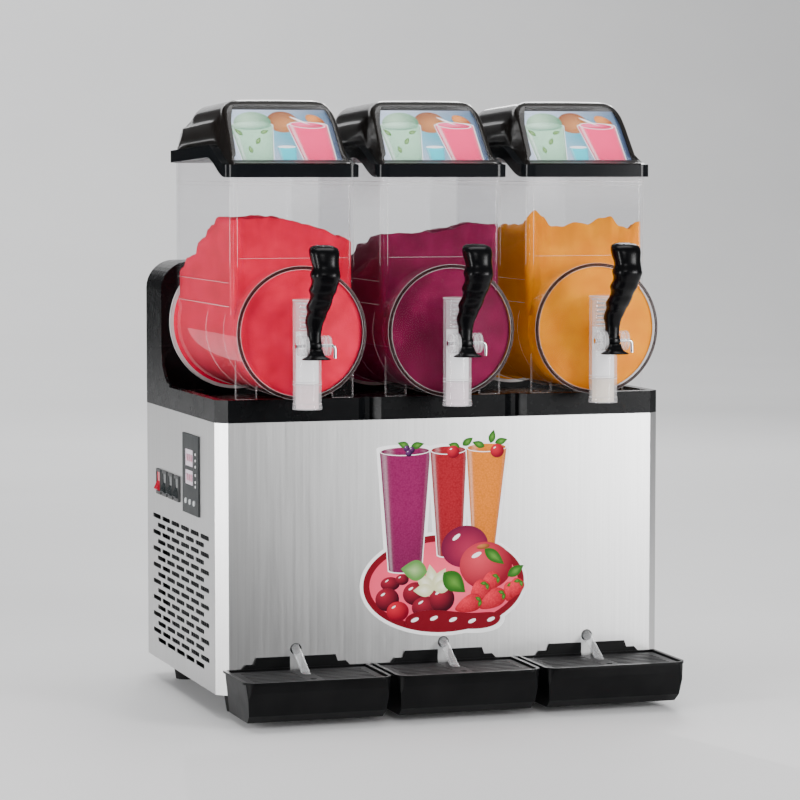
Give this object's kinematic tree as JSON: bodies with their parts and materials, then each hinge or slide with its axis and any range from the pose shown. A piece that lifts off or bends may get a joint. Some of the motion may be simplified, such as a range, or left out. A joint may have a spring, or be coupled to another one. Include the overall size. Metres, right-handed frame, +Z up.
{
  "type": "slush machine",
  "caption": "Countertop slush machine with side-by-side clear bowls, augers, lever taps, lids, pull-out drip trays and a vented steel cabinet.",
  "frame": {"origin": "middle of the footprint of the whole machine, on the plane the feet stand on", "axes": "+Z up, -Y towards the taps and the customer, +X to the right as seen from the taps"},
  "size_m": [0.607, 0.553, 0.784],
  "materials": {
    "zinc_frame": "galvanised",
    "brushed_panel": "vertical brushed grain",
    "black_moulding": "smooth moulded",
    "foot_rubber": "matte",
    "grey_fascia": "satin",
    "display_window": "glossy window",
    "switch_black": "moulded",
    "switch_red": "glossy",
    "switch_grey": "glossy",
    "button_grey": "satin",
    "compressor_paint": "satin",
    "fin_aluminium": "mill",
    "motor_grey": "satin",
    "fan_plastic": "moulded",
    "pipe_copper": "drawn",
    "screw_steel": "polished",
    "spring_steel": "drawn",
    "evaporator_steel": "satin",
    "clear_tube": "clear",
    "gasket_rubber": "matte",
    "clear_bowl": "clear",
    "lid_black": "glossy",
    "lid_smoke": "smoked clear",
    "auger_white": "satin",
    "handle_black": "glossy",
    "piston_white": "satin",
    "tray_black": "moulded"
  },
  "bodies": {
    "root": {"chassis": "zinc_frame", "front_panel": "brushed_panel", "left_panel": "brushed_panel", "right_panel": "brushed_panel", "rear_panel": "brushed_panel", "top_tray": "black_moulding", "rear_housing": "black_moulding", "feet": "foot_rubber", "control_fascia": "grey_fascia", "display_windows": "display_window", "switch_housings": "switch_black", "compressor": "compressor_paint", "condenser": "fin_aluminium", "fan_motor": "motor_grey", "refrigerant_pipes": "pipe_copper", "control_box": "zinc_frame", "cord_gland": "switch_black", "screws": "screw_steel", "evaporators": "evaporator_steel", "gear_motors": "motor_grey", "drain_tubes": "clear_tube", "bowl_gaskets": "gasket_rubber"},
    "bowl_1": {"bowl_1": "clear_bowl", "tap_pin_1": "screw_steel", "tap_spring_1": "spring_steel"},
    "lid_1": {"lid_rim_1": "lid_black", "lid_dome_1": "lid_smoke"},
    "handle_1": {"tap_handle_1": "handle_black"},
    "piston_1": {"tap_piston_1": "piston_white"},
    "auger_1": {"auger_1": "auger_white"},
    "tray_1": {"drip_tray_1": "tray_black", "drip_grille_1": "tray_black"},
    "button_1": {"button_1": "button_grey"},
    "switch_1": {"bowl_switch_1": "switch_grey"},
    "bowl_2": {"bowl_2": "clear_bowl", "tap_pin_2": "screw_steel", "tap_spring_2": "spring_steel"},
    "lid_2": {"lid_rim_2": "lid_black", "lid_dome_2": "lid_smoke"},
    "handle_2": {"tap_handle_2": "handle_black"},
    "piston_2": {"tap_piston_2": "piston_white"},
    "auger_2": {"auger_2": "auger_white"},
    "tray_2": {"drip_tray_2": "tray_black", "drip_grille_2": "tray_black"},
    "button_2": {"button_2": "button_grey"},
    "switch_2": {"bowl_switch_2": "switch_grey"},
    "bowl_3": {"bowl_3": "clear_bowl", "tap_pin_3": "screw_steel", "tap_spring_3": "spring_steel"},
    "lid_3": {"lid_rim_3": "lid_black", "lid_dome_3": "lid_smoke"},
    "handle_3": {"tap_handle_3": "handle_black"},
    "piston_3": {"tap_piston_3": "piston_white"},
    "auger_3": {"auger_3": "auger_white"},
    "tray_3": {"drip_tray_3": "tray_black", "drip_grille_3": "tray_black"},
    "button_3": {"button_3": "button_grey"},
    "switch_3": {"bowl_switch_3": "switch_grey"},
    "switch_power": {"power_switch": "switch_red"},
    "fan": {"fan_blades": "fan_plastic"}
  },
  "joints": [
    {"name": "bowl_1_slide", "type": "slide", "parent": "root", "child": "bowl_1", "axis": [0, -1, 0], "range_m": [0, 0.34]},
    {"name": "lid_1_lift", "type": "slide", "parent": "bowl_1", "child": "lid_1", "axis": [0, 0, 1], "range_m": [0, 0.1]},
    {"name": "handle_1_pull", "type": "hinge", "parent": "bowl_1", "child": "handle_1", "pos_m": [-0.198, -0.207, 0.477], "axis": [1, 0, 0], "range_deg": [0, 30], "stiffness_Nm_per_rad": 0.5, "springref_deg": -11.46},
    {"name": "piston_1_lift", "type": "slide", "parent": "bowl_1", "child": "piston_1", "axis": [0, 0, 1], "range_m": [0, 0.0136], "deforming": ["tap_spring_1"]},
    {"name": "auger_1_spin", "type": "hinge", "parent": "root", "child": "auger_1", "pos_m": [-0.198, -0.022, 0.49], "axis": [0, 1, 0], "continuous": true},
    {"name": "tray_1_slide", "type": "slide", "parent": "root", "child": "tray_1", "axis": [0, -1, 0], "range_m": [0, 0.13]},
    {"name": "bowl_2_slide", "type": "slide", "parent": "root", "child": "bowl_2", "axis": [0, -1, 0], "range_m": [0, 0.34]},
    {"name": "lid_2_lift", "type": "slide", "parent": "bowl_2", "child": "lid_2", "axis": [0, 0, 1], "range_m": [0, 0.1]},
    {"name": "handle_2_pull", "type": "hinge", "parent": "bowl_2", "child": "handle_2", "pos_m": [0, -0.207, 0.477], "axis": [1, 0, 0], "range_deg": [0, 30], "stiffness_Nm_per_rad": 0.5, "springref_deg": -11.46},
    {"name": "piston_2_lift", "type": "slide", "parent": "bowl_2", "child": "piston_2", "axis": [0, 0, 1], "range_m": [0, 0.0136], "deforming": ["tap_spring_2"]},
    {"name": "auger_2_spin", "type": "hinge", "parent": "root", "child": "auger_2", "pos_m": [0, -0.022, 0.49], "axis": [0, 1, 0], "continuous": true},
    {"name": "tray_2_slide", "type": "slide", "parent": "root", "child": "tray_2", "axis": [0, -1, 0], "range_m": [0, 0.13]},
    {"name": "bowl_3_slide", "type": "slide", "parent": "root", "child": "bowl_3", "axis": [0, -1, 0], "range_m": [0, 0.34]},
    {"name": "lid_3_lift", "type": "slide", "parent": "bowl_3", "child": "lid_3", "axis": [0, 0, 1], "range_m": [0, 0.1]},
    {"name": "handle_3_pull", "type": "hinge", "parent": "bowl_3", "child": "handle_3", "pos_m": [0.198, -0.207, 0.477], "axis": [1, 0, 0], "range_deg": [0, 30], "stiffness_Nm_per_rad": 0.5, "springref_deg": -11.46},
    {"name": "piston_3_lift", "type": "slide", "parent": "bowl_3", "child": "piston_3", "axis": [0, 0, 1], "range_m": [0, 0.0136], "deforming": ["tap_spring_3"]},
    {"name": "auger_3_spin", "type": "hinge", "parent": "root", "child": "auger_3", "pos_m": [0.198, -0.022, 0.49], "axis": [0, 1, 0], "continuous": true},
    {"name": "tray_3_slide", "type": "slide", "parent": "root", "child": "tray_3", "axis": [0, -1, 0], "range_m": [0, 0.13]},
    {"name": "button_1_press", "type": "slide", "parent": "root", "child": "button_1", "axis": [1, 0, 0], "range_m": [0, 0.0012], "stiffness_N_per_m": 500},
    {"name": "button_2_press", "type": "slide", "parent": "root", "child": "button_2", "axis": [1, 0, 0], "range_m": [0, 0.0012], "stiffness_N_per_m": 500},
    {"name": "button_3_press", "type": "slide", "parent": "root", "child": "button_3", "axis": [1, 0, 0], "range_m": [0, 0.0012], "stiffness_N_per_m": 500},
    {"name": "power_switch_rock", "type": "hinge", "parent": "root", "child": "switch_power", "pos_m": [-0.2975, 0.188, 0.274], "axis": [0, 1, 0], "range_deg": [-24, 0]},
    {"name": "switch_1_rock", "type": "hinge", "parent": "root", "child": "switch_1", "pos_m": [-0.2975, 0.154, 0.274], "axis": [0, 1, 0], "range_deg": [-24, 0]},
    {"name": "switch_2_rock", "type": "hinge", "parent": "root", "child": "switch_2", "pos_m": [-0.2975, 0.12, 0.274], "axis": [0, 1, 0], "range_deg": [-24, 0]},
    {"name": "switch_3_rock", "type": "hinge", "parent": "root", "child": "switch_3", "pos_m": [-0.2975, 0.086, 0.274], "axis": [0, 1, 0], "range_deg": [-24, 0]},
    {"name": "fan_spin", "type": "hinge", "parent": "root", "child": "fan", "pos_m": [-0.228, 0.073, 0.14], "axis": [1, 0, 0], "continuous": true}
  ],
  "couplings": [
    {"joint": "piston_1_lift", "follows": "handle_1_pull", "m_per_rad": 0.0258},
    {"joint": "piston_2_lift", "follows": "handle_2_pull", "m_per_rad": 0.0258},
    {"joint": "piston_3_lift", "follows": "handle_3_pull", "m_per_rad": 0.0258}
  ]
}
